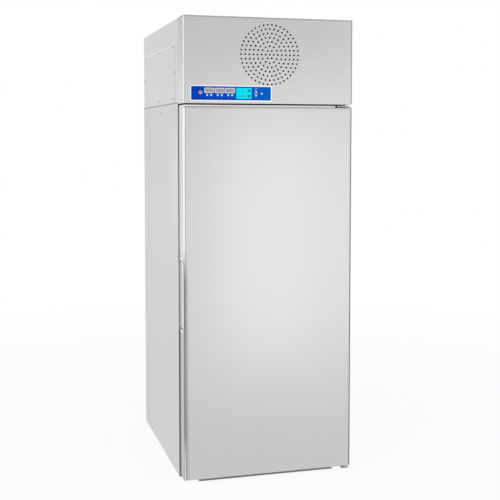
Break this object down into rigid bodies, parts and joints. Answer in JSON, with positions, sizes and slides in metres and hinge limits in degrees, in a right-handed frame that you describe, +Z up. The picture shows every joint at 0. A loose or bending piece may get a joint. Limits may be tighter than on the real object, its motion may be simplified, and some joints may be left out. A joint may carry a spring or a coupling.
{
  "type": "blast chiller",
  "caption": "Roll-in blast chiller: insulated trolley chamber with one tall hinged door, a swing-out fan panel over the evaporator, and a machine module behind a lift-up front hood.",
  "frame": {"origin": "centre of the footprint, on the floor", "axes": "+Z up; -Y out of the door; +X to the right seen from the front, where the door hinge is"},
  "size_m": [0.834, 1.11, 2.2],
  "materials": {
    "outer_steel": "satin",
    "inner_steel": "satin",
    "galvanised": "satin",
    "zinc_screw": "satin",
    "foam": "matte",
    "seal": "matte",
    "fin_aluminium": "satin",
    "copper": "satin",
    "black_enamel": "satin",
    "black_plastic": "matte",
    "nylon": "matte",
    "overlay": "satin",
    "display": "gloss",
    "key_red": "satin",
    "key_pale": "satin"
  },
  "bodies": {
    "cabinet": {"side_panels": "outer_steel", "back_panel": "galvanised", "wall_foam": "foam", "chamber_liner": "inner_steel", "door_frame": "black_plastic", "floor_pan": "inner_steel", "threshold_ramp": "outer_steel", "bumper_rails": "inner_steel", "drain_pipe": "black_plastic", "probe_holder": "inner_steel", "hinge_brackets": "outer_steel", "door_switch": "black_plastic", "evaporator_coil": "fin_aluminium", "evaporator_tubes": "copper", "drip_tray": "inner_steel", "fan_panel_brackets": "inner_steel", "machine_deck": "galvanised", "casing_sides": "outer_steel", "casing_back": "galvanised", "top_cover": "outer_steel", "access_panels": "outer_steel", "panel_screws": "zinc_screw", "hood_hinges": "galvanised", "compressor": "black_enamel", "compressor_feet": "seal", "condenser_coil": "fin_aluminium", "condenser_shroud": "galvanised", "condenser_motor": "black_plastic", "receiver": "black_enamel", "refrigerant_pipes": "copper", "electrical_box": "galvanised", "mains_gland": "black_plastic"},
    "door": {"door_skin": "outer_steel", "door_foam": "foam", "door_liner": "inner_steel", "door_gasket": "seal", "door_sweep": "seal", "handle_pocket": "outer_steel", "hinge_bushes": "nylon"},
    "fan_panel": {"fan_panel": "inner_steel", "fan_guards": "inner_steel", "fan_motors": "black_plastic"},
    "fan_low": {"chamber_fan_low": "black_plastic"},
    "fan_mid": {"chamber_fan_mid": "black_plastic"},
    "fan_top": {"chamber_fan_top": "black_plastic"},
    "condenser_fan": {"condenser_fan": "black_plastic"},
    "hood": {"front_hood": "outer_steel", "control_housing": "black_plastic", "control_overlay": "overlay", "display_windows": "display"},
    "key_power": {"key_power": "key_red"},
    "key_1": {"key_1": "key_pale"},
    "key_2": {"key_2": "key_pale"},
    "key_3": {"key_3": "key_pale"},
    "key_4": {"key_4": "key_pale"},
    "key_5": {"key_5": "key_pale"},
    "key_6": {"key_6": "key_pale"},
    "key_up": {"key_up": "key_pale"},
    "key_down": {"key_down": "key_pale"},
    "key_enter": {"key_enter": "key_pale"}
  },
  "joints": [
    {"name": "door_swing", "type": "hinge", "parent": "cabinet", "child": "door", "pos_m": [0.4, -0.523, 0.9], "axis": [0, 0, 1], "range_deg": [0, 110]},
    {"name": "hood_lift", "type": "hinge", "parent": "cabinet", "child": "hood", "pos_m": [0, -0.434, 2.193], "axis": [-1, 0, 0], "range_deg": [0, 70]},
    {"name": "fan_panel_swing", "type": "hinge", "parent": "cabinet", "child": "fan_panel", "pos_m": [0.304, 0.227, 0.88], "axis": [0, 0, 1], "range_deg": [0, 75]},
    {"name": "fan_low_spin", "type": "hinge", "parent": "fan_panel", "child": "fan_low", "pos_m": [0, 0.239, 0.39333], "axis": [0, 1, 0], "continuous": true},
    {"name": "fan_mid_spin", "type": "hinge", "parent": "fan_panel", "child": "fan_mid", "pos_m": [0, 0.239, 0.88], "axis": [0, 1, 0], "continuous": true},
    {"name": "fan_top_spin", "type": "hinge", "parent": "fan_panel", "child": "fan_top", "pos_m": [0, 0.239, 1.36667], "axis": [0, 1, 0], "continuous": true},
    {"name": "condenser_fan_spin", "type": "hinge", "parent": "cabinet", "child": "condenser_fan", "pos_m": [0, -0.237, 1.983], "axis": [0, 1, 0], "continuous": true},
    {"name": "key_power_press", "type": "slide", "parent": "hood", "child": "key_power", "axis": [0, 1, 0], "range_m": [0, 0.0008], "stiffness_N_per_m": 400, "springref_m": -0.0008},
    {"name": "key_1_press", "type": "slide", "parent": "hood", "child": "key_1", "axis": [0, 1, 0], "range_m": [0, 0.0008], "stiffness_N_per_m": 400, "springref_m": -0.0008},
    {"name": "key_2_press", "type": "slide", "parent": "hood", "child": "key_2", "axis": [0, 1, 0], "range_m": [0, 0.0008], "stiffness_N_per_m": 400, "springref_m": -0.0008},
    {"name": "key_3_press", "type": "slide", "parent": "hood", "child": "key_3", "axis": [0, 1, 0], "range_m": [0, 0.0008], "stiffness_N_per_m": 400, "springref_m": -0.0008},
    {"name": "key_4_press", "type": "slide", "parent": "hood", "child": "key_4", "axis": [0, 1, 0], "range_m": [0, 0.0008], "stiffness_N_per_m": 400, "springref_m": -0.0008},
    {"name": "key_5_press", "type": "slide", "parent": "hood", "child": "key_5", "axis": [0, 1, 0], "range_m": [0, 0.0008], "stiffness_N_per_m": 400, "springref_m": -0.0008},
    {"name": "key_6_press", "type": "slide", "parent": "hood", "child": "key_6", "axis": [0, 1, 0], "range_m": [0, 0.0008], "stiffness_N_per_m": 400, "springref_m": -0.0008},
    {"name": "key_up_press", "type": "slide", "parent": "hood", "child": "key_up", "axis": [0, 1, 0], "range_m": [0, 0.0008], "stiffness_N_per_m": 400, "springref_m": -0.0008},
    {"name": "key_down_press", "type": "slide", "parent": "hood", "child": "key_down", "axis": [0, 1, 0], "range_m": [0, 0.0008], "stiffness_N_per_m": 400, "springref_m": -0.0008},
    {"name": "key_enter_press", "type": "slide", "parent": "hood", "child": "key_enter", "axis": [0, 1, 0], "range_m": [0, 0.0008], "stiffness_N_per_m": 400, "springref_m": -0.0008}
  ]
}
